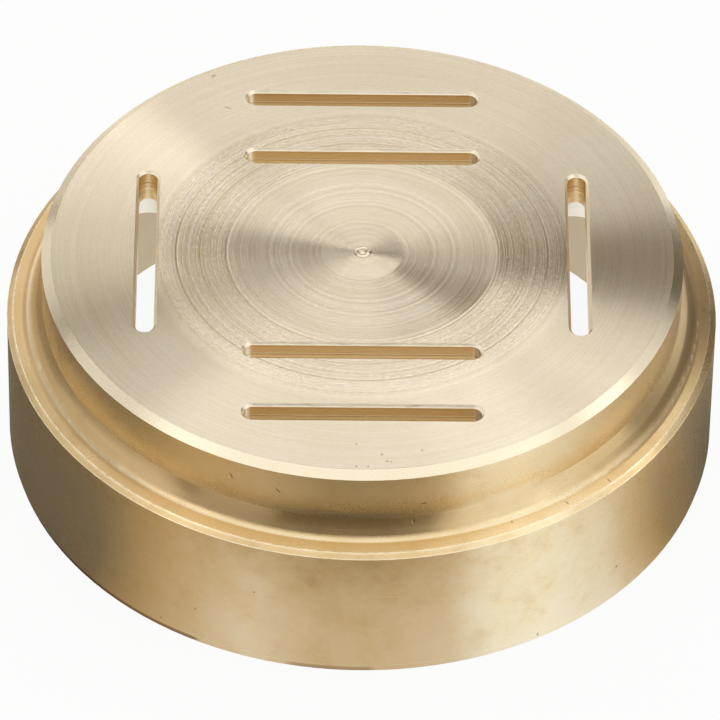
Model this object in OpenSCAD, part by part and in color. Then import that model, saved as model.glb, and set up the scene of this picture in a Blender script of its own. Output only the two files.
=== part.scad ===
// Pasta extrusion die: one turned brass disc with a stepped neck, hollow behind and slotted for wide ribbons.
// It rests on its open rim with the extrusion face up. The Z axis is the turning axis.

/* [Flange] */
// Outside diameter of the flange, which slides into the barrel
flange_d = 51; // [50:0.1:54]
// Height of the ledge above the rim, where the ring nut bears
flange_h = 11.4; // [9:0.1:14]
// Radial width of the bevel at the ledge's outer edge
flange_bevel_w = 0.42; // [0.1:0.02:0.6]
// Height of the bevel at the ledge's outer edge
flange_bevel_h = 0.3; // [0.1:0.02:0.6]
// Radial width of the lead-in bevel at the foot of the flange
foot_bevel_w = 0.15; // [0.05:0.01:0.5]
// Height of the lead-in bevel at the foot of the flange
foot_bevel_h = 0.6; // [0.2:0.05:1.5]

/* [Neck] */
// Diameter of the neck that passes through the ring nut
neck_d = 45.9; // [44.8:0.1:46.6]
// Height of the extrusion face above the ledge
neck_h = 5.4; // [4.6:0.1:8]
// Radial width of the taper at the root of the neck
root_taper_w = 0.96; // [0.3:0.02:1]
// Height of the taper at the root of the neck
root_taper_h = 1.3; // [0.6:0.05:2]
// Radius of the fillet where the taper runs into the ledge
root_fillet_r = 0.74; // [0.2:0.02:0.8]
// Radial width of the bevel around the extrusion face
face_bevel_w = 0.7; // [0.2:0.05:1.2]
// Height of the bevel around the extrusion face
face_bevel_h = 0.45; // [0.2:0.05:1]

/* [Inlet cavity] */
// Diameter of the round cavity that the dough fills
cavity_d = 44.9; // [43.4:0.1:45.6]
// Distance from the ledge down to the roof of the cavity
roof_drop = 0.25; // [0:0.05:2]
// Radius in the corner between the cavity's wall and roof
cavity_corner_r = 0.8; // [0.3:0.05:1.2]
// Bevel around the cavity's mouth
mouth_bevel = 0.25; // [0.1:0.05:0.8]

/* [Ribbon slots] */
// Length of each slot, end to end, which is the ribbon's width
slot_len = 16.7; // [12:0.1:18]
// Width of each slot, which is the ribbon's thickness
slot_w = 1.33; // [0.8:0.01:1.8]
// Depth of the narrow land that shapes the ribbon
slot_land = 2.6; // [1.5:0.1:3.6]
// Bevel where a slot breaks the extrusion face
slot_bevel = 0.2; // [0.05:0.05:0.4]
// Width of the wider inlet milled behind each slot
inlet_w = 5; // [4.5:0.1:5.6]
// Distance from the axis to the inner row of crosswise slots
inner_row = 10.25; // [9.2:0.05:10.8]
// Distance from the axis to the outer row of crosswise slots
outer_row = 16.55; // [16:0.05:17]
// Distance from the axis to each of the two lengthwise slots
side_row = 15.45; // [14.6:0.05:16.2]

/* [Hidden] */
$fn = 128;
flange_r = flange_d / 2;
neck_r = neck_d / 2;
cavity_r = cavity_d / 2;
total_h = flange_h + neck_h;
roof_h = flange_h - roof_drop;
land_h = total_h - slot_land;
inlet_len = slot_len + inlet_w - slot_w;
over = 0.5;
brass = [0.82, 0.70, 0.45];
rows = [
  [[0, outer_row], 0],
  [[0, inner_row], 0],
  [[0, -inner_row], 0],
  [[0, -outer_row], 0],
  [[side_row, 0], 90],
  [[-side_row, 0], 90]
];

// Half section of the outside, from the axis out
module outside_section() {
  polygon([
    [0, 0],
    [flange_r - foot_bevel_w, 0],
    [flange_r, foot_bevel_h],
    [flange_r, flange_h - flange_bevel_h],
    [flange_r - flange_bevel_w, flange_h],
    [neck_r, flange_h],
    [neck_r, total_h - face_bevel_h],
    [neck_r - face_bevel_w, total_h],
    [0, total_h]
  ]);
}

// Half section of the taper and fillet between the neck and the ledge
module root_section() {
  lean = atan(root_taper_w / root_taper_h);
  reach = root_fillet_r * tan((90 - lean) / 2);
  translate([neck_r, flange_h])
    difference() {
      polygon([
        [0, 0],
        [root_taper_w + reach, 0],
        [root_taper_w - reach * sin(lean), reach * cos(lean)],
        [0, root_taper_h]
      ]);
      translate([root_taper_w + reach, root_fillet_r])
        circle(r = root_fillet_r);
    }
}

// Half section of the cavity with its rounded corner and bevelled mouth
module cavity_section() {
  straight_r = cavity_r - cavity_corner_r;
  straight_h = roof_h - cavity_corner_r;
  square([straight_r, roof_h]);
  square([cavity_r, straight_h]);
  translate([straight_r, straight_h])
    circle(r = cavity_corner_r);
  polygon([
    [0, -over],
    [cavity_r + mouth_bevel + over, -over],
    [cavity_r, mouth_bevel],
    [0, mouth_bevel]
  ]);
}

module turned_blank() {
  rotate_extrude()
    difference() {
      union() {
        outside_section();
        root_section();
      }
      cavity_section();
    }
}

// Straight-sided prism with half-round ends, along X and up from the XY plane
module round_ended(length, width, height) {
  linear_extrude(height) {
    square([length - width, width], center = true);
    for (end = [-1, 1])
      translate([end * (length - width) / 2, 0])
        circle(d = width);
  }
}

// Bevel that follows a slot's edge, running out above the face
module slot_edge_bevel() {
  rise = slot_bevel + over;
  run = slot_len - slot_w;
  rotate([90, 0, 90])
    linear_extrude(run, center = true)
      polygon([
        [-slot_w / 2, 0],
        [slot_w / 2, 0],
        [slot_w / 2 + rise, rise],
        [-slot_w / 2 - rise, rise]
      ]);
  for (end = [-1, 1])
    translate([end * run / 2, 0, 0])
      cylinder(h = rise, r1 = slot_w / 2, r2 = slot_w / 2 + rise);
}

// One slot with its inlet behind and its bevel in front
module ribbon_passage() {
  translate([0, 0, roof_h - over])
    round_ended(slot_len, slot_w, total_h - roof_h + 2 * over);
  translate([0, 0, roof_h - over])
    round_ended(inlet_len, inlet_w, land_h - roof_h + over);
  translate([0, 0, total_h - slot_bevel])
    slot_edge_bevel();
}

module die() {
  color(brass)
    difference() {
      turned_blank();
      for (row = rows)
        translate(row[0])
          rotate(row[1])
            ribbon_passage();
    }
}

die();
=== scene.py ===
import math

import bpy
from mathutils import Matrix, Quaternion, Vector


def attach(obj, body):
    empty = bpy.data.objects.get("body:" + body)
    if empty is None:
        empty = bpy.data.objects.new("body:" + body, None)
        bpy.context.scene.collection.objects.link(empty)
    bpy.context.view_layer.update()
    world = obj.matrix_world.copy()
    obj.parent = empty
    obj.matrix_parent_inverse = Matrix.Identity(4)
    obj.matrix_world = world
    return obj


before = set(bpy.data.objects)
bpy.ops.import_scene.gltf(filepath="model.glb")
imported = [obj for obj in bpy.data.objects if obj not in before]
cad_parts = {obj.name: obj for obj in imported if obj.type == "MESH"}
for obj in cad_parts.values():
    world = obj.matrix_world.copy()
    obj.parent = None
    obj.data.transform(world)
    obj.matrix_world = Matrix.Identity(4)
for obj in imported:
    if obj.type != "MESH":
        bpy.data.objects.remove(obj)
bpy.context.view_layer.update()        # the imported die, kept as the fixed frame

scene = bpy.context.scene
scene.view_settings.view_transform = "Standard"
mm = 0.001
print("die loaded")


# shader maths: a socket that takes part in Python expressions
class Wire:
    def __init__(self, tree, socket=None):
        self.tree = tree
        self.socket = socket

    # any node: its settings go in first, then the values or links of its sockets
    def node(self, kind, settings=None, sockets=None, out=0):
        made = self.tree.nodes.new("ShaderNode" + kind)
        for name, value in (settings or {}).items():
            if name == "stops":
                self.fillRamp(made.color_ramp, value)
            else:
                setattr(made, name, value)
        for name, value in (sockets or {}).items():
            self.plug(made.inputs[name], value)
        return Wire(self.tree, made.outputs[out]) if made.outputs else made

    def fillRamp(self, ramp, stops):
        while len(ramp.elements) < len(stops):
            ramp.elements.new(0.5)
        for element, (place, colour) in zip(ramp.elements, stops):
            element.position = place
            element.color = (*colour, 1.0)

    def plug(self, socket, value):
        if isinstance(value, Wire):
            self.tree.links.new(value.socket, socket)
        else:
            socket.default_value = value

    # another output of the same node
    def other(self, name):
        return Wire(self.tree, self.socket.node.outputs[name])

    def maths(self, operation, *values):
        return self.node("Math", {"operation": operation}, dict(enumerate(values)))

    def __add__(self, value):
        return self.maths("ADD", self, value)

    __radd__ = __add__

    def __sub__(self, value):
        return self.maths("SUBTRACT", self, value)

    def __rsub__(self, value):
        return self.maths("SUBTRACT", value, self)

    def __mul__(self, value):
        return self.maths("MULTIPLY", self, value)

    __rmul__ = __mul__

    def __truediv__(self, value):
        return self.maths("DIVIDE", self, value)

    def __pow__(self, value):
        return self.maths("POWER", self, value)

    # 0 below low, 1 above high, soft between
    def rise(self, low, high):
        return self.node("MapRange", {"interpolation_type": "SMOOTHSTEP"},
                         {0: self, 1: low, 2: high, 3: 0.0, 4: 1.0})

    def within(self, low, high, soft):
        return self.rise(low - soft, low + soft) * (1 - self.rise(high - soft, high + soft))

    # 1 near a place, on either side of it
    def near(self, place, half, soft):
        return self.within(place - half, place + half, soft)


def mixColour(mask, first, second):
    return mask.node("Mix", {"data_type": "RGBA"}, {0: mask, 6: first, 7: second}, out=2)


# adds up the named masks, each by its share
def weigh(shares, masks, total=0.0):
    for name, share in shares.items():
        total = total + masks[name] * share
    return total


def newMaterial(name):
    material = bpy.data.materials.new(name)
    material.use_nodes = True
    material.node_tree.nodes.clear()
    return material, Wire(material.node_tree)


# from the die towards a place round it: azimuth from the front, right is positive
def direction(azimuth, elevation):
    turn = math.radians(azimuth)
    rise = math.radians(elevation)
    return Vector((math.cos(rise) * math.sin(turn), -math.cos(rise) * math.cos(turn), math.sin(rise)))


# camera at the photograph's viewing angle
cameraView = {
    "elevation": 43.395,
    "azimuth": -0.678,
    "roll": 0.966,
    "distance": 0.569787,
    "lens": 393.53,
    "sensor": 36.0,
    "clipStart": 0.01,
    "aim": (-0.05 * mm, 0.0, 6.176 * mm),
}


def placeCamera(view):
    data = bpy.data.cameras.new("camera")
    data.lens = view["lens"]
    data.sensor_width = view["sensor"]
    data.clip_start = view["clipStart"]
    camera = bpy.data.objects.new("camera", data)
    scene.collection.objects.link(camera)
    away = direction(view["azimuth"], view["elevation"])
    camera.location = Vector(view["aim"]) + away * view["distance"]
    aimed = (-away).to_track_quat("-Z", "Y")
    camera.rotation_mode = "QUATERNION"
    camera.rotation_quaternion = aimed @ Quaternion((0, 0, 1), math.radians(view["roll"]))
    scene.camera = camera


placeCamera(cameraView)
print("camera placed")


# studio: soft boxes round the die in a dim room, with the front left open for the camera
studio = {
    "room": 0.09,
    "roomColour": (1.0, 0.67, 0.33, 1.0),
    "whiteSeen": 0.93,
    "white": (1.0, 1.0, 1.0, 1.0),
    # azimuth from the front, elevation, distance, width, height, brightness where 1 is white
    "topBox": (0, 72, 0.60, 1.00, 0.66, 1.02),
    "topBackBox": (172, 62, 0.60, 0.52, 0.35, 1.20),
    "rightFrontBox": (42, 18, 0.60, 0.36, 0.40, 0.82),
    "rightBox": (78, 39, 0.60, 0.44, 0.24, 0.82),
    "rightLowBox": (75, 16, 0.60, 0.34, 0.26, 0.82),
    "rightSideBox": (111, 39.5, 0.60, 0.36, 0.29, 0.85),
    "leftBox": (-85, 27, 0.60, 0.61, 0.62, 0.77),
    "leftBackBox": (-128, 13, 0.60, 0.34, 0.32, 0.75),
    "backLeftBox": (-157, 26, 0.60, 0.19, 0.38, 1.27),
    "backLowBox": (173.5, 16, 0.60, 0.58, 0.23, 1.40),
    "frontLeftBox": (-38, 8, 0.60, 0.25, 0.20, 0.60),
}


def lightStudio(values):
    world = bpy.data.worlds.new("room")
    scene.world = world
    world.use_nodes = True
    world.node_tree.nodes.clear()
    start = Wire(world.node_tree)
    seen = start.node("LightPath", out="Is Camera Ray")
    room = start.node("Background", {}, {"Color": values["roomColour"], "Strength": values["room"]})
    backdrop = start.node("Background", {}, {"Color": values["white"], "Strength": values["whiteSeen"]})
    both = start.node("MixShader", {}, {0: seen, 1: room, 2: backdrop})
    start.node("OutputWorld", {}, {"Surface": both})
    for name in values:
        if not name.endswith("Box"):
            continue
        azimuth, elevation, distance, width, height, brightness = values[name]
        lamp = bpy.data.lights.new(name, "AREA")
        lamp.shape = "RECTANGLE"
        lamp.size = width
        lamp.size_y = height
        lamp.energy = brightness * math.pi * width * height
        box = bpy.data.objects.new(name, lamp)
        scene.collection.objects.link(box)
        way = direction(azimuth, elevation)
        box.location = way * distance
        box.rotation_mode = "QUATERNION"
        box.rotation_quaternion = way.to_track_quat("Z", "Y")


lightStudio(studio)
print("studio lit")


# pale floor: white to the camera with the die's shadow kept; what the metal mirrors of it is white too, but
# open and darker beside the die and where the camera stands; these wedges of white and dark are painted light
# and painted shade on the floor
floorLook = {
    "half": 3.0,
    "colour": (0.85, 0.85, 0.85, 1.0),
    "shade": (0.10, 0.10, 0.10, 1.0),     # the same floor as the metal mirrors it
    "white": (1.0, 1.0, 1.0, 1.0),
    "whiteSeen": 0.93,
    # angle from the front and share of white
    "mirroredNear": [(-180, 0.60), (-165, 0.45), (-140, 0.08), (-100, 0.06), (-60, 0.07), (-50, 0.10),
                     (-34, 0.50), (-19, 0.74), (-6, 0.60), (6, 0.62), (15, 0.68), (22, 0.93), (31, 1.00),
                     (46, 0.80), (63, 0.24), (82, 0.06), (105, 0.05), (140, 0.06), (165, 0.45), (180, 0.60)],
    "mirroredFar": [(-180, 0.64), (-108, 0.70), (-92, 0.06), (-70, 0.12), (-51, 0.20), (-34, 0.46),
                    (-19, 0.24), (-6, 0.02), (6, 0.06), (15, 0.24), (22, 0.86), (31, 1.00), (46, 0.80),
                    (63, 0.85), (82, 1.00), (110, 0.75), (180, 0.64)],
    "warm": (1.00, 0.69, 0.32, 1.0),      # light off the brass on the duller floor
    "warmFades": (0.28, 0.98),
    "wallRadius": 0.0255,
    "underDie": (0.0224, 0.0226),         # white all over below the cavity
    "nearToFar": (0.0325, 0.047),
    "fanEdge": 0.042,
    "fan": 17.0,                          # how the mirrored wedges spread with distance from the wall
}


def layFloor(values):
    half = values["half"]
    mesh = bpy.data.meshes.new("floor")
    corners = [(-half, -half, 0.0), (half, -half, 0.0), (half, half, 0.0), (-half, half, 0.0)]
    mesh.from_pydata(corners, [], [(0, 1, 2, 3)])
    floor = bpy.data.objects.new("floor", mesh)
    scene.collection.objects.link(floor)
    material, start = newMaterial("paleFloor")
    material.cycles.emission_sampling = "NONE"
    here = start.node("NewGeometry")
    spot = start.node("SeparateXYZ", {}, {0: here})
    across = spot.other("X")
    along = spot.other("Y")
    reach = (across * across + along * along) ** 0.5
    angle = across.maths("ARCTAN2", across, 0 - along) * math.degrees(1)
    wall = values["wallRadius"]
    away = reach.maths("MINIMUM", reach.maths("MAXIMUM", reach, wall), values["fanEdge"])
    turn = angle * (1 - values["fan"] * (away - wall)) / 360 + 0.5

    def share(stops):
        greys = [(place / 360 + 0.5, (white, white, white)) for place, white in stops]
        return turn.node("ValToRGB", {"stops": greys}, {0: turn})

    far = reach.rise(*values["nearToFar"])
    mirrored = mixColour(far, share(values["mirroredNear"]), share(values["mirroredFar"]))
    mirrored = mirrored.maths("MAXIMUM", mirrored, 1 - reach.rise(*values["underDie"]))
    light = start.node("LightPath")
    shiny = light.maths("MAXIMUM", light.other("Is Glossy Ray"), light.other("Is Transmission Ray"))
    white = light.maths("MAXIMUM", light.other("Is Camera Ray") * values["whiteSeen"], shiny * mirrored)
    warmed = shiny * (1 - mirrored.rise(*values["warmFades"]))
    glow = start.node("Emission", {}, {
        "Color": mixColour(warmed, values["white"], values["warm"]), "Strength": 1.0})
    matt = start.node("BsdfDiffuse", {}, {"Color": mixColour(shiny, values["colour"], values["shade"])})
    top = start.node("MixShader", {}, {0: white, 1: matt, 2: glow})
    clear = start.node("BsdfTransparent")      # from below, the floor is open
    both = start.node("MixShader", {}, {0: here.other("Backfacing"), 1: top, 2: clear})
    start.node("OutputMaterial", {}, {0: both})
    mesh.materials.append(material)


layFloor(floorLook)
print("floor laid")


# how the tools' patterns are cut from Blender's noise
patterns = {
    "spread": 3.0,             # brings a noise to about -1 to 1
    "ridgeSharp": 5.0,
    "markSoft": (0.5, 1.3),    # a mark's edge, in its half sizes
}


# where a shader stands on the die, in mm, and the patterns laid by the tools there
class Spot:
    def __init__(self, start):
        self.start = start
        place = start.node("TexCoord", out="Object")
        self.place = start.node("VectorMath", {"operation": "SCALE"}, {0: place, "Scale": 1 / mm})
        parts = start.node("SeparateXYZ", {}, {0: self.place})
        self.across = parts.other("X")
        self.along = parts.other("Y")
        self.height = parts.other("Z")
        self.radius = (self.across * self.across + self.along * self.along) ** 0.5
        self.angle = parts.maths("ARCTAN2", self.across, 0 - self.along) * math.degrees(1)

    def noise(self, settings, sockets):
        return (self.start.node("TexNoise", settings, sockets) - 0.5) * patterns["spread"]

    def cloud(self, size, detail=2.0, shift=0.0):
        moved = self.start.node("VectorMath", {"operation": "ADD"}, {0: self.place, 1: (shift, shift, shift)})
        return self.noise({}, {"Vector": moved, "Scale": 1 / size, "Detail": detail})

    def rings(self, size, along, shift=0.0):
        return self.noise({"noise_dimensions": "1D"},
                          {"W": along / size + shift, "Scale": 1.0, "Detail": 2.0})

    # thin rings, 0 to 1
    def ridges(self, size, along, shift=0.0):
        wave = self.rings(size, along, shift)
        return wave.maths("MAXIMUM", 1 - wave.maths("ABSOLUTE", wave) * patterns["ridgeSharp"], 0.0)

    # rings that come and go round the turn
    def arcs(self, size, length, shift=0.0):
        bent = self.start.node("CombineXYZ", {}, {
            0: self.across / length, 1: self.along / length, 2: self.radius / size + shift})
        return self.noise({}, {"Vector": bent, "Scale": 1.0, "Detail": 2.0})

    # one mark: its middle, its half sizes and its turn about each axis
    def mark(self, middle, halves, turn):
        inside = self.start.node("Mapping", {"vector_type": "TEXTURE"}, {
            "Vector": self.place, "Location": middle, "Scale": halves,
            "Rotation": [math.radians(part) for part in turn]})
        reach = inside.node("VectorMath", {"operation": "LENGTH"}, {0: inside}, out="Value")
        return 1 - reach.rise(*patterns["markSoft"])

    def marks(self, wanted):
        total = 0
        for middle, halves, turn in wanted:
            total = total + self.mark(middle, halves, turn)
        return total


# wear specks, and painted glints on the side: middle, half sizes and turn of each mark
wearAndPaintedGlints = {
    "faceSpecks": [
        ((-0.43, -19.76, 16.8), (0.08, 0.08, 0.3), (0, 0, 0)),
        ((1.34, -20.77, 16.8), (0.10, 0.10, 0.3), (0, 0, 30)),
        ((1.71, -21.45, 16.8), (0.13, 0.08, 0.3), (0, 0, 20)),
        ((2.00, -21.50, 16.8), (0.07, 0.08, 0.3), (0, 0, 0)),
        ((-0.43, -21.97, 16.8), (0.10, 0.08, 0.3), (0, 0, 0)),
        ((0.38, -22.00, 16.8), (0.08, 0.09, 0.3), (0, 0, 0)),
        ((4.14, -20.33, 16.8), (0.10, 0.07, 0.3), (0, 0, 25)),
        ((-9.8, 15.4, 16.8), (0.34, 0.06, 0.3), (0, 0, -25)),
        ((-10.9, 18.9, 16.8), (0.22, 0.10, 0.3), (0, 0, 30)),
    ],
    "sideSpecks": [
        ((-9.12, -21.06, 14.9), (0.07, 0.9, 0.26), (0, -25, 0)),
        ((-5.85, -22.19, 14.6), (0.06, 0.9, 0.26), (0, -40, 0)),
        ((4.30, -22.54, 13.8), (0.26, 0.9, 0.05), (0, -6, 0)),
        ((3.60, -22.60, 12.4), (0.10, 1.2, 0.12), (0, 0, 0)),
        ((10.5, -21.85, 11.4), (0.08, 0.08, 0.4), (0, 0, 0)),
        ((14.4, -19.9, 11.4), (0.24, 0.05, 0.5), (0, 0, -50)),
        ((17.4, -17.6, 11.35), (0.24, 0.05, 0.5), (0, 0, -55)),
        ((-7.48, -24.38, 6.75), (0.07, 0.9, 0.08), (0, 0, 0)),
        ((-11.65, -22.68, 3.33), (0.06, 0.9, 0.08), (0, 0, 0)),
        ((-14.1, -21.26, 1.0), (0.06, 0.9, 0.07), (0, 0, 0)),
        ((18.2, -17.9, 3.1), (0.08, 0.9, 0.10), (0, 0, 0)),
        ((12.6, -22.2, 0.5), (0.08, 0.9, 0.20), (0, 0, 0)),
    ],
    # painted highlights: bright glints on the neck and wall
    "sideGlints": [
        ((-2.45, -22.82, 13.9), (0.07, 0.9, 0.07), (0, 0, 0)),
        ((1.5, -25.4, 7.45), (1.6, 0.9, 0.05), (0, 2, 0)),
        ((-0.6, -25.4, 6.5), (1.1, 0.9, 0.05), (0, 1, 0)),
        ((1.45, -25.4, 4.2), (0.40, 0.9, 0.05), (0, -24, 0)),
    ],
}


# extrusion face: faced on the lathe in zones, each leaning its own way; lengths in mm
faceFinish = {
    "light": (0.99, 0.90, 0.735, 1.0),
    "dull": (0.74, 0.63, 0.43, 1.0),
    "speckAndShade": (0.42, 0.34, 0.22, 1.0),
    # the zones' edges, how softly they meet and the lean of the feed marks in each
    "coreEdge": 2.9,
    "innerEdge": 9.7,
    "midEdge": 15.0,
    "faceEdge": 30.0,
    "edgeSoft": 0.5,
    "midEdgeSoft": 2.4,
    "innerSoft": 0.15,
    "midSoft": 0.6,
    "outerSoft": 1.2,
    "coreLean": -0.025,
    "innerLean": 0.02,
    "midLean": -0.016,
    "outerLean": -0.258,
    # the grain, which runs round and slants on the right of the inner zone
    "innerRough": 0.25,
    "rough": 0.26,
    "outerRough": 0.345,
    "roughShares": {"band": 0.02, "fine": 0.015},
    "grain": 1.0,
    "grainTurn": 0.25,
    "innerTurn": 0.32,
    "slantFrom": (-3.0, 3.0),
    # the tool's rings
    "fineRing": 0.13,
    "arcLength": 14.0,
    "bandRing": 0.24,
    "lineRing": 0.44,
    "lineShifts": (7.0, 21.0),          # of the raised and the sunk lines
    "chatterRing": 0.12,
    "chatterLength": 0.32,
    "chatterShift": 4.0,
    "cloudSize": 5.0,
    "cloudDetail": 3.0,
    "grooves": [(9.72, 0.09), (13.3, 0.06)],      # radius and half width
    "grooveSoft": 0.05,
    "depths": {"fine": 0.0010, "chatter": 0.0012, "innerChatter": -0.00084, "band": 0.00048,
               "midBand": 0.00272, "lines": 0.00033, "midLines": 0.00187, "groove": -0.008},
    # from dull to light
    "tone": 0.64,
    "toneShares": {"fine": 0.18, "band": 0.08, "midBand": 0.20, "lines": 0.08, "midLines": 0.24,
                   "innerLines": 0.18, "chatter": 0.20, "midChatter": 0.24, "cloudy": 0.10,
                   "groove": -0.3, "paintedDarkWedges": -0.24},
    # quarters of the face painted darker, a painted shade for the dark wedges of the turning grain: first
    # angle, last angle and softness
    "paintedDarkRight": (78, 106, 14.0),
    "paintedDarkLeft": (-98, -62, 16.0),
    "paintedDarkInner": (46, 70, 10.0),
    "paintedDarkFrom": (3.0, 5.0),
    "innerPaintedDark": 0.5,
    "speckShare": 0.8,
    "pipGrooves": [(0.29, 0.05), (0.60, 0.04)],
    "pipSoft": 0.03,
    "pipShadeShare": 0.6,
}


def facedBrass(spot, values):
    start = spot.start
    radius = spot.radius
    core = values["coreEdge"]
    within = values["innerEdge"]
    outside = values["midEdge"]

    # the lean of the feed marks, as the height of shallow cones
    def cone(lean, first, last, soft):
        past = radius.maths("SMOOTH_MAX", radius, first, soft)
        return lean * radius.maths("SMOOTH_MIN", past, last, soft)

    soft = values["edgeSoft"]
    lean = (cone(values["coreLean"], 0.0, core, soft)
            + cone(values["innerLean"], core, within, soft)
            + cone(values["midLean"], within, outside, soft)
            + cone(values["outerLean"], outside, values["faceEdge"], values["midEdgeSoft"]))
    inner = radius.within(core, within, values["innerSoft"])
    mid = radius.within(within, outside, values["midSoft"])
    outer = radius.rise(outside - values["outerSoft"], outside + values["outerSoft"])

    fine = spot.arcs(values["fineRing"], values["arcLength"])
    band = spot.rings(values["bandRing"], radius)
    chatter = spot.arcs(values["chatterRing"], values["chatterLength"], values["chatterShift"])
    raised, sunk = values["lineShifts"]
    lines = (spot.ridges(values["lineRing"], radius, raised)
             - spot.ridges(values["lineRing"], radius, sunk))
    groove = 0
    for place, half in values["grooves"]:
        groove = groove + radius.near(place, half, values["grooveSoft"])
    angle = spot.angle
    # painted shade: the face made darker in these quarters
    paintedDarkWedges = angle.within(*values["paintedDarkRight"]) + angle.within(*values["paintedDarkLeft"])
    paintedDarkWedges = paintedDarkWedges * (1 - inner * values["innerPaintedDark"]) + angle.within(*values["paintedDarkInner"]) * inner
    masks = {
        "fine": fine,
        "band": band,
        "midBand": band * mid,
        "lines": lines,
        "midLines": lines * mid,
        "innerLines": lines * inner,
        "chatter": chatter,
        "midChatter": chatter * mid,
        "innerChatter": chatter * inner,
        "cloudy": spot.cloud(values["cloudSize"], values["cloudDetail"]),
        "groove": groove,
        "paintedDarkWedges": paintedDarkWedges * radius.rise(*values["paintedDarkFrom"]),
    }
    feed = start.node("Bump", {}, {
        "Strength": 1.0, "Distance": mm, "Height": weigh(values["depths"], masks, lean)})
    specks = spot.marks(wearAndPaintedGlints["faceSpecks"]) * values["speckShare"]
    # painted shade: dark lines in the grooves round the turning pip, added to the specks
    for place, half in values["pipGrooves"]:
        specks = specks + radius.near(place, half, values["pipSoft"]) * values["pipShadeShare"]
    tone = weigh(values["toneShares"], masks, values["tone"])
    colour = mixColour(specks, mixColour(tone, values["dull"], values["light"]), values["speckAndShade"])

    def grained(rough, turn):
        return start.node("BsdfPrincipled", {}, {
            "Base Color": colour,
            "Metallic": 1.0,
            "Roughness": weigh(values["roughShares"], masks, rough),
            "Anisotropic": values["grain"],
            "Anisotropic Rotation": turn,
            "Normal": feed,
        })

    rough = values["rough"] + outer * (values["outerRough"] - values["rough"])
    level = grained(rough, values["grainTurn"])
    slanted = grained(values["innerRough"], values["innerTurn"])
    slant = inner * spot.across.rise(*values["slantFrom"])
    return start.node("MixShader", {}, {0: slant, 1: level, 2: slanted})


# neck, ledge and flange: turned, then satined, with a blotchy bloom on the plain walls; lengths in mm
sideFinish = {
    "pale": (0.90, 0.79, 0.57, 1.0),
    "gold": (0.84, 0.64, 0.33, 1.0),
    "brown": (0.66, 0.46, 0.23, 1.0),
    "bevel": (0.92, 0.84, 0.64, 1.0),
    "edge": (0.96, 0.86, 0.62, 1.0),
    "speckAndShade": (0.34, 0.24, 0.13, 1.0),
    # size, detail and shift of each cloud
    "satin": (0.17, 2.0, 0.0),
    "fine": (0.6, 3.0, 3.0),
    "bloom": (3.4, 3.0, 11.0),
    "stain": (1.8, 2.0, 23.0),
    "pores": (0.24, 1.0, 31.0),
    "poresFrom": (0.80, 1.15),
    # the stretches of the section by height or radius: first and last, and softness where there are three
    "bevelFrom": (16.30, 16.38),
    "neckTo": (23.6, 24.2),
    "rootHeight": (11.5, 12.7, 0.15),
    "filletHeight": (11.3, 12.05, 0.12),
    "filletTo": (24.30, 24.45),
    "ledgeHeight": (11.36, 11.44, 0.02),
    "ledgeRadius": (24.1, 25.08, 0.05),
    "rimHeight": (11.12, 11.38, 0.03),
    "wallFrom": (25.0, 25.3),
    "wallMiddle": 9.0,
    "handledFrom": (7.5, 10.8),
    "handledStain": (-0.5, 0.9),
    "handledFine": 0.4,
    "blotchStain": (0.1, 1.3),
    "blotchBloom": 0.5,
    "footTo": (0.30, 0.60),
    # the stretches round the turn: first angle, last angle and softness
    # painted highlight and painted shade: the root, ledge and rim paler in one sector and darker in another
    "paintedHighlight": (16, 42, 8.0),
    "paintedShade": (-50, -20, 8.0),
    "backLedge": (-140, -80, 8.0),
    "paintedCreviceShade": (52, 130, 9.0),
    "sharpRoot": (34, 130, 9.0),
    "brightFillet": (-45, 45, 10.0),
    # darker along the foot in these sectors
    "footDarkSectors": [((-78, -27, 1.0), 0.95), ((-11.5, 2.0, 1.0), 0.57)],      # with their strength
    # height and radius of each worn edge
    "edges": [(16.8, 22.25), (16.35, 22.95), (11.4, 25.08), (11.1, 25.5), (0.6, 25.5)],
    "edgeHeight": (0.05, 0.04),         # half width and softness
    "edgeRadius": (0.06, 0.05),
    "worn": 0.55,
    "wornFine": 0.9,
    # from pale to gold, and from that to brown; both mixes also carry the painted highlight and painted shade
    "golden": 0.40,
    "goldenShares": {"paintedHighlight": -0.5, "paintedShade": 0.2, "bloom": 0.42, "neckBloom": -0.22, "fine": 0.12,
                     "wallFine": 0.12, "upWall": 0.04, "neck": 0.22, "ledge": 0.55, "rim": 0.55, "root": 0.6},
    "brownAndPaintedShadeShares": {"blotch": 0.45, "paintedHighlight": -0.4, "paintedShade": 0.15, "rim": 0.25, "ledge": 0.46,
                    "backLedge": 0.4, "root": 0.5, "handled": 0.28},
    "satinBright": 0.16,
    "satinShare": 0.22,
    "satinKept": {"bevel": -0.8, "ledge": -0.85, "rim": -0.6, "root": -0.6},
    "speckShares": {"marked": 0.8, "footDarkening": 1.0, "wallPores": 0.2},
    "glintShares": {"glinting": 0.7, "nicks": 1.0},
    "paintedCreviceShadeShare": 0.75,
    "rough": 0.26,
    "roughShares": {"bloom": 0.03, "satin": 0.02, "nicks": -0.06, "browned": 0.06, "sideFillet": 0.16},
    "grain": 0.8,
    "grainTurn": 0.25,
    # the lean of the ledge, and the fill that softens the edge between neck and taper
    "ledgeCone": (24.28, 25.08, 0.1),
    "rootLevel": 12.7,
    "rootReach": 0.75,
    "depths": {"satin": 0.0001, "wallSatin": 0.0009, "specks": -0.01, "ledgeCone": -0.16, "fill": 0.10},
}


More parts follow.
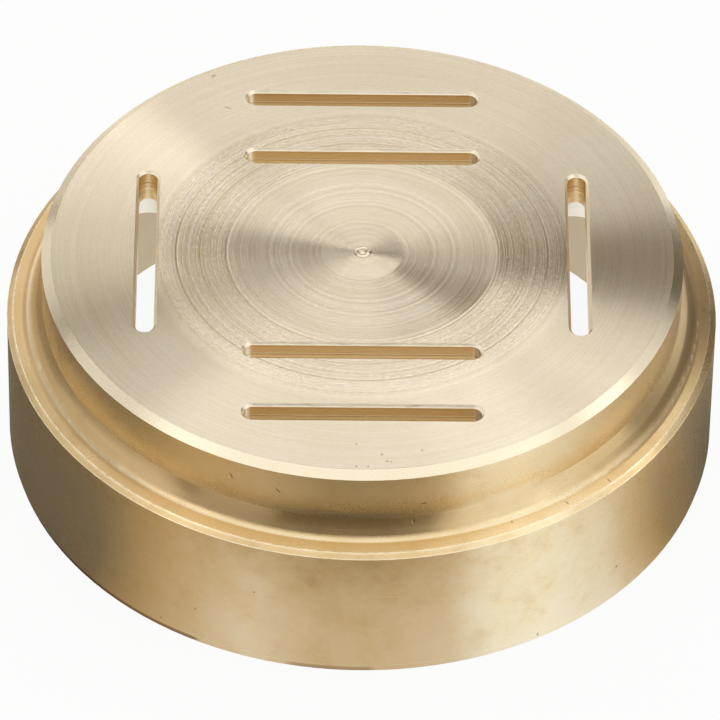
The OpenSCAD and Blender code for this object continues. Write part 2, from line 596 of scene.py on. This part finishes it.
def sidedBrass(spot, values):
    start = spot.start
    radius = spot.radius
    height = spot.height
    angle = spot.angle
    satin = spot.cloud(*values["satin"])
    fine = spot.cloud(*values["fine"])
    bloom = spot.cloud(*values["bloom"])
    stain = spot.cloud(*values["stain"])
    pores = spot.cloud(*values["pores"]).rise(*values["poresFrom"])

    bevel = height.rise(*values["bevelFrom"])
    wall = radius.rise(*values["wallFrom"])
    neck = 1 - radius.rise(*values["neckTo"])
    ledge = height.within(*values["ledgeHeight"]) * radius.within(*values["ledgeRadius"])
    root = height.within(*values["rootHeight"]) * neck
    rim = height.within(*values["rimHeight"]) * wall
    fillet = height.within(*values["filletHeight"]) * (1 - radius.rise(*values["filletTo"]))
    stepped = ledge + rim + root

    handled = (stain + fine * values["handledFine"]).rise(*values["handledStain"])
    # darker along the foot in the listed sectors
    footDarkening = 0
    for place, share in values["footDarkSectors"]:
        footDarkening = footDarkening + angle.within(*place) * share
    worn = 0
    for level, reach in values["edges"]:
        worn = worn + height.near(level, *values["edgeHeight"]) * radius.near(reach, *values["edgeRadius"])
    first, last, soft = values["ledgeCone"]
    ledgeCone = radius.maths("SMOOTH_MIN", radius.maths("SMOOTH_MAX", radius, first, soft), last, soft)
    offRoot = height.maths("ABSOLUTE", height - values["rootLevel"]) / values["rootReach"]
    fill = (1 - height.maths("MINIMUM", offRoot, 1.0)) ** 2
    masks = {
        "satin": satin,
        "wallSatin": satin * wall,
        "fine": fine,
        "wallFine": fine * wall,
        "bloom": bloom,
        "neckBloom": bloom * neck,
        "blotch": (stain + bloom * values["blotchBloom"]).rise(*values["blotchStain"]),
        "handled": height.rise(*values["handledFrom"]) * wall * handled,
        "bevel": bevel,
        "neck": neck,
        "root": root,
        "ledge": ledge,
        "backLedge": ledge * angle.within(*values["backLedge"]),
        "rim": rim,
        "upWall": (height - values["wallMiddle"]) * wall,
        "paintedHighlight": angle.within(*values["paintedHighlight"]) * stepped,
        "paintedShade": angle.within(*values["paintedShade"]) * stepped,
        "sideFillet": fillet * (1 - angle.within(*values["brightFillet"])),
        "nicks": worn * (values["worn"] + fine * values["wornFine"]),
        "glinting": spot.marks(wearAndPaintedGlints["sideGlints"]),
        "marked": spot.marks(wearAndPaintedGlints["sideSpecks"]),
        "footDarkening": (1 - height.rise(*values["footTo"])) * footDarkening,
        "wallPores": pores * wall,
        "ledgeCone": ledgeCone,
        "fill": fill * (1 - angle.within(*values["sharpRoot"])),
    }
    masks["browned"] = weigh(values["brownAndPaintedShadeShares"], masks)
    masks["specks"] = weigh(values["speckShares"], masks)

    golden = weigh(values["goldenShares"], masks, values["golden"])
    colour = mixColour(golden, values["pale"], values["gold"])
    colour = mixColour(masks["browned"], colour, values["brown"])
    colour = mixColour(bevel, colour, values["bevel"])
    satined = (satin * values["satinShare"] + values["satinBright"]) * weigh(values["satinKept"], masks, 1.0)
    colour = mixColour(satined, colour, values["edge"])
    # painted glints, with lighter worn nicks along the edges
    colour = mixColour(weigh(values["glintShares"], masks), colour, values["edge"])
    # painted shade: the fillet's crease darkened on the right side, in the speck colour
    paintedCreviceShade = fillet * angle.within(*values["paintedCreviceShade"])
    colour = mixColour(masks["specks"] + paintedCreviceShade * values["paintedCreviceShadeShare"], colour, values["speckAndShade"])
    skin = start.node("Bump", {}, {
        "Strength": 1.0, "Distance": mm, "Height": weigh(values["depths"], masks)})
    return start.node("BsdfPrincipled", {}, {
        "Base Color": colour,
        "Metallic": 1.0,
        "Roughness": weigh(values["roughShares"], masks, values["rough"]),
        "Anisotropic": values["grain"],
        "Anisotropic Rotation": values["grainTurn"],
        "Normal": skin,
    })


# slots, inlets and dough cavity: milled and bored, less bright than the outside; the inlets' near-white
# colour is in part a painted reflection of the bright floor below, and the cavity's darker colour a painted
# shade; lengths in mm
slotFinish = {
    # partly painted highlight: the slots' edge bevel paler than brass, for its bright line
    "mouth": (1.00, 0.92, 0.73, 1.0),
    "land": (0.93, 0.74, 0.44, 1.0),
    "landDark": (0.73, 0.52, 0.26, 1.0),
    "paintedEndHighlight": (1.00, 0.93, 0.76, 1.0),
    "paintedEndShade": (0.40, 0.30, 0.18, 1.0),
    # partly painted reflection: the inlet walls near white
    "inlet": (0.96, 0.92, 0.82, 1.0),
    "inletDark": (0.87, 0.81, 0.68, 1.0),
    # painted shade: the cavity darker than the rest
    "cavity": (0.56, 0.46, 0.31, 1.0),
    "cavityDark": (0.44, 0.35, 0.22, 1.0),
    # the heights at which each begins
    "inletFrom": (11.1, 11.2),
    "landFrom": (14.15, 14.25),
    "mouthFrom": (16.58, 16.62),
    "seam": (15.78, 0.03, 0.03),        # height, half width and softness
    # painted highlight at the left ends and painted shade at the right ends of the crosswise slots: where it
    # begins and ends, softness and strength
    "endFrom": 7.95,
    "endTo": 9.0,
    "endSoft": 0.10,
    "paintedEndHighlightShare": 0.8,
    "paintedEndShadeShare": 0.9,
    # size and shift of the rings; size, detail and shift of the clouds
    "steps": (0.22, 3.0),
    "bored": (0.4, 9.0),
    "grain": (0.22, 3.0, 5.0),
    "cloudy": (2.5, 4.0, 17.0),
    "boreTone": 0.5,
    "boreShares": {"cloudy": 0.3, "bored": 0.2, "grain": 0.1},
    "landTone": 0.6,
    "landShares": {"steps": 0.3, "grain": 0.15, "seam": -0.6},
    "depths": {"steps": 0.006, "bored": 0.004, "grain": 0.003, "seam": -0.02},
    "rough": 0.36,
    "roughShares": {"cloudy": 0.04, "grain": 0.03},
}


def milledBrass(spot, values):
    start = spot.start
    height = spot.height
    stepSize, stepShift = values["steps"]
    boreSize, boreShift = values["bored"]
    masks = {
        "steps": spot.rings(stepSize, height, stepShift),
        "bored": spot.rings(boreSize, spot.radius, boreShift),
        "grain": spot.cloud(*values["grain"]),
        "cloudy": spot.cloud(*values["cloudy"]),
        "seam": height.near(*values["seam"]),
    }
    boreTone = weigh(values["boreShares"], masks, values["boreTone"])
    inlet = mixColour(boreTone, values["inletDark"], values["inlet"])
    cavity = mixColour(boreTone, values["cavityDark"], values["cavity"])
    landTone = weigh(values["landShares"], masks, values["landTone"])
    land = mixColour(landTone, values["landDark"], values["land"])
    first = values["endFrom"]
    last = values["endTo"]
    # painted highlight at the left ends, painted shade at the right ends
    paintedHighlightEnd = spot.across.within(-last, -first, values["endSoft"]) * values["paintedEndHighlightShare"]
    paintedShadeEnd = spot.across.within(first, last, values["endSoft"]) * values["paintedEndShadeShare"]
    land = mixColour(paintedHighlightEnd, land, values["paintedEndHighlight"])
    land = mixColour(paintedShadeEnd, land, values["paintedEndShade"])
    colour = mixColour(height.rise(*values["inletFrom"]), cavity, inlet)
    colour = mixColour(height.rise(*values["landFrom"]), colour, land)
    colour = mixColour(height.rise(*values["mouthFrom"]), colour, values["mouth"])
    skin = start.node("Bump", {}, {
        "Strength": 1.0, "Distance": mm, "Height": weigh(values["depths"], masks)})
    return start.node("BsdfPrincipled", {}, {
        "Base Color": colour,
        "Metallic": 1.0,
        "Roughness": weigh(values["roughShares"], masks, values["rough"]),
        "Normal": skin,
    })


# where one finish gives way to the next, in mm
brassZones = {
    "faceFrom": (16.78, 16.79),
    "insideTo": (22.20, 22.22),
    "cavityTo": (11.28, 11.30),
    "cavityWider": 1.3,        # below its roof the inside reaches this much further out
}


def turnedBrass(values):
    material, start = newMaterial("turnedBrass")
    spot = Spot(start)
    face = spot.height.rise(*values["faceFrom"])
    wider = values["cavityWider"] * (1 - spot.height.rise(*values["cavityTo"]))
    inside = 1 - (spot.radius - wider).rise(*values["insideTo"])
    faced = facedBrass(spot, faceFinish)
    sides = sidedBrass(spot, sideFinish)
    milled = milledBrass(spot, slotFinish)
    lower = start.node("MixShader", {}, {0: inside, 1: sides, 2: milled})
    whole = start.node("MixShader", {}, {0: face, 1: lower, 2: faced})
    start.node("OutputMaterial", {}, {0: whole})
    return material


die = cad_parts["die"]
die.material_slots[0].link = "OBJECT"
die.material_slots[0].material = turnedBrass(brassZones)
print("brass on the die")


# turning pip: the ring and nub that the facing tool leaves at the centre
turningPip = {
    # radius and height, in mm
    "profile": [(0.62, 16.795), (0.56, 16.825), (0.48, 16.880), (0.41, 16.880), (0.34, 16.830),
                (0.27, 16.806), (0.21, 16.812), (0.17, 16.865), (0.10, 16.895), (0.0, 16.900)],
    "sides": 48,
}


def turnPip(values):
    profile = values["profile"]
    sides = values["sides"]
    corners = []
    for reach, level in profile[:-1]:
        for step in range(sides):
            turn = 2 * math.pi * step / sides
            corners.append((reach * mm * math.cos(turn), reach * mm * math.sin(turn), level * mm))
    corners.append((0.0, 0.0, profile[-1][1] * mm))
    faces = []
    last = len(profile) - 2
    for ring in range(last):
        for step in range(sides):
            one = ring * sides + step
            two = ring * sides + (step + 1) % sides
            faces.append((one, two, two + sides, one + sides))
    for step in range(sides):
        faces.append((last * sides + step, last * sides + (step + 1) % sides, len(corners) - 1))
    mesh = bpy.data.meshes.new("turningPip")
    mesh.from_pydata(corners, [], faces)
    mesh.shade_smooth()
    mesh.materials.append(die.material_slots[0].material)
    pip = bpy.data.objects.new("turningPip", mesh)
    scene.collection.objects.link(pip)
    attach(pip, "root")


turnPip(turningPip)
print("turning pip made")
